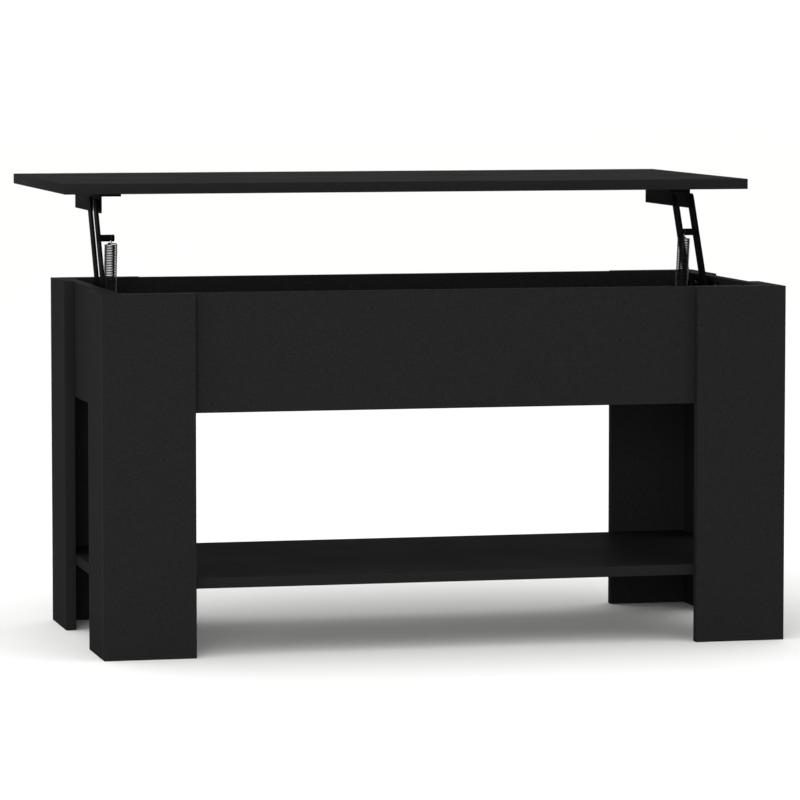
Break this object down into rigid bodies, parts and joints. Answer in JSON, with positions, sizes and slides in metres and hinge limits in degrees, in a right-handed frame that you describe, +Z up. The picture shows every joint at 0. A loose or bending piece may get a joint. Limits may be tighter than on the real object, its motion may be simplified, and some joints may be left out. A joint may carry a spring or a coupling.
{
  "type": "lift top coffee table",
  "caption": "Rectangular coffee table on L-shaped board legs, with a low shelf and a storage box under a top that lifts up and swings back on sprung parallel arms.",
  "frame": {"origin": "on the floor, at the middle of the box round the whole table with its top raised", "axes": "+Z up; +X along the table's length, to the right seen from the front; +Y from the front towards the side the raised top swings to"},
  "size_m": [1.01, 0.7162, 0.649],
  "materials": {
    "black_board": "matte black melamine on particle board",
    "black_steel": "satin black powder coat",
    "zinc_fastener": "die-cast zinc",
    "black_zinc_screw": "black zinc plate",
    "spring_wire": "black phosphated spring wire"
  },
  "bodies": {
    "table": {"apron_front": "black_board", "apron_back": "black_board", "side_panel_left": "black_board", "side_panel_right": "black_board", "storage_bottom": "black_board", "shelf": "black_board", "leg_front_left_wide": "black_board", "leg_front_left_side": "black_board", "shelf_cam_front_left": "zinc_fastener", "leg_front_right_wide": "black_board", "leg_front_right_side": "black_board", "shelf_cam_front_right": "zinc_fastener", "leg_back_left_wide": "black_board", "leg_back_left_side": "black_board", "shelf_cam_back_left": "zinc_fastener", "leg_back_right_wide": "black_board", "leg_back_right_side": "black_board", "shelf_cam_back_right": "zinc_fastener", "left_base_bracket": "black_steel", "left_base_screw_1": "black_zinc_screw", "left_base_screw_2": "black_zinc_screw", "left_base_screw_3": "black_zinc_screw", "left_front_base_rivet": "black_steel", "left_rear_base_rivet": "black_steel", "left_lower_spring_pin": "black_steel", "right_base_bracket": "black_steel", "right_base_screw_1": "black_zinc_screw", "right_base_screw_2": "black_zinc_screw", "right_base_screw_3": "black_zinc_screw", "right_front_base_rivet": "black_steel", "right_rear_base_rivet": "black_steel", "right_lower_spring_pin": "black_steel"},
    "left_front_arm": {"left_front_arm": "black_steel", "left_upper_spring_pin": "black_steel"},
    "left_rear_arm": {"left_rear_arm": "black_steel"},
    "left_spring": {"left_spring": "spring_wire"},
    "left_spring_hook": {"left_spring_hook": "spring_wire"},
    "right_front_arm": {"right_front_arm": "black_steel", "right_upper_spring_pin": "black_steel"},
    "right_rear_arm": {"right_rear_arm": "black_steel"},
    "right_spring": {"right_spring": "spring_wire"},
    "right_spring_hook": {"right_spring_hook": "spring_wire"},
    "top": {"tabletop": "black_board", "left_top_bracket": "black_steel", "left_top_screw_1": "black_zinc_screw", "left_top_screw_2": "black_zinc_screw", "left_top_screw_3": "black_zinc_screw", "left_front_top_rivet": "black_steel", "left_rear_top_rivet": "black_steel", "right_top_bracket": "black_steel", "right_top_screw_1": "black_zinc_screw", "right_top_screw_2": "black_zinc_screw", "right_top_screw_3": "black_zinc_screw", "right_front_top_rivet": "black_steel", "right_rear_top_rivet": "black_steel"}
  },
  "joints": [
    {"name": "lift", "type": "hinge", "parent": "table", "child": "left_front_arm", "pos_m": [-0.4458, -0.11944, 0.4724], "axis": [-1, 0, 0], "range_deg": [-113.2, 0]},
    {"name": "top_level", "type": "hinge", "parent": "left_front_arm", "child": "top", "pos_m": [-0.4458, -0.03995, 0.61699], "axis": [-1, 0, 0], "range_deg": [0, 113.2]},
    {"name": "left_rear_swing", "type": "hinge", "parent": "table", "child": "left_rear_arm", "pos_m": [-0.4425, -0.04845, 0.4724], "axis": [-1, 0, 0], "range_deg": [-113.2, 0]},
    {"name": "right_front_swing", "type": "hinge", "parent": "table", "child": "right_front_arm", "pos_m": [0.4458, -0.11944, 0.4724], "axis": [-1, 0, 0], "range_deg": [-113.2, 0]},
    {"name": "right_rear_swing", "type": "hinge", "parent": "table", "child": "right_rear_arm", "pos_m": [0.4425, -0.04845, 0.4724], "axis": [-1, 0, 0], "range_deg": [-113.2, 0]},
    {"name": "left_spring_swing", "type": "hinge", "parent": "table", "child": "left_spring", "pos_m": [-0.4278, -0.04664, 0.43], "axis": [-1, 0, 0], "range_deg": [-65.75, 0], "deforming": ["left_spring"]},
    {"name": "left_spring_stretch", "type": "slide", "parent": "left_spring", "child": "left_spring_hook", "axis": [0, -0.1396, 0.9902], "range_m": [0, 0.04974], "deforming": ["left_spring_hook"]},
    {"name": "right_spring_swing", "type": "hinge", "parent": "table", "child": "right_spring", "pos_m": [0.4278, -0.04664, 0.43], "axis": [-1, 0, 0], "range_deg": [-65.75, 0], "deforming": ["right_spring"]},
    {"name": "right_spring_stretch", "type": "slide", "parent": "right_spring", "child": "right_spring_hook", "axis": [0, -0.1396, 0.9902], "range_m": [0, 0.04974], "deforming": ["right_spring_hook"]}
  ],
  "couplings": [
    {"joint": "top_level", "follows": "lift", "ratio": -1},
    {"joint": "left_rear_swing", "follows": "lift", "ratio": 1},
    {"joint": "right_front_swing", "follows": "lift", "ratio": 1},
    {"joint": "right_rear_swing", "follows": "lift", "ratio": 1},
    {"joint": "left_spring_swing", "follows": "lift", "ratio": 0.5808},
    {"joint": "left_spring_stretch", "follows": "lift", "m_per_rad": -0.025173},
    {"joint": "right_spring_swing", "follows": "lift", "ratio": 0.5808},
    {"joint": "right_spring_stretch", "follows": "lift", "m_per_rad": -0.025173}
  ]
}
